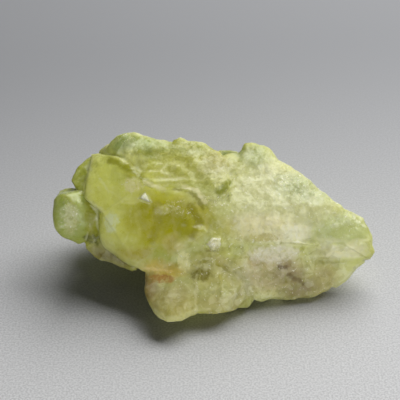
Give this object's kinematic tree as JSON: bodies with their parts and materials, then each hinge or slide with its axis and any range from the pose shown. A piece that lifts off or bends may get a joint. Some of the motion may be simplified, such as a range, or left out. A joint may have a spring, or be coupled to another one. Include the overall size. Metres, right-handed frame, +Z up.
{
  "type": "brazilianite crystal cluster",
  "caption": "Rough hand specimen of yellow-green brazilianite: a broken mass of crystals grown together, glassy at one end and sugary at the other, resting on its own base.",
  "frame": {"origin": "centre of the bounding box in X and Y, on the surface that the specimen rests on", "axes": "+X along the length towards the narrow tip, +Y towards the back, +Z up; the front that is usually shown faces -Y"},
  "size_m": [0.0454, 0.0276, 0.0192],
  "materials": {
    "brazilianite": "clear to cloudy yellow-green crystal, glassy on its broken faces and frosted where it is sugary"
  },
  "bodies": {
    "root": {"crystal_mass": "brazilianite"}
  },
  "joints": []
}
